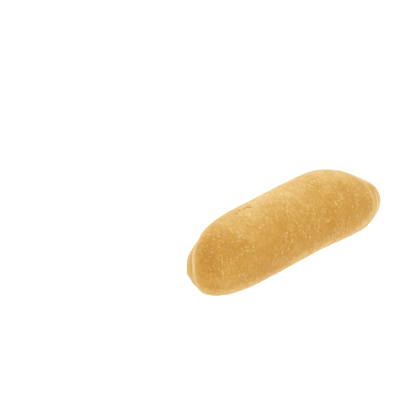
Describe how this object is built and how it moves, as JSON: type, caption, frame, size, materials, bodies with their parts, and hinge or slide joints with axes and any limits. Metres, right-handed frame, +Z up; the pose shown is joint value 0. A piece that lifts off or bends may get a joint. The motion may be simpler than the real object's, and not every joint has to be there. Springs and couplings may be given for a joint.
{
  "type": "oil bread roll",
  "caption": "Oblong golden-brown oil bread roll, a coiled sheet of dough baked into a gently bowed loaf with folded, layered ends and a flat underside.",
  "frame": {"origin": "middle of the flat underside's footprint box, on the surface that the roll lies on", "axes": "+X along the roll from its blunt end to its narrow end, +Y across it to the outside of its bow, +Z up from the flat underside to the crown"},
  "size_m": [0.1248, 0.0446, 0.0359],
  "materials": {
    "crust": "satin golden-brown baked crust, paler at the folds, the tips and the lower side"
  },
  "bodies": {
    "root": {"roll": "crust"}
  },
  "joints": []
}
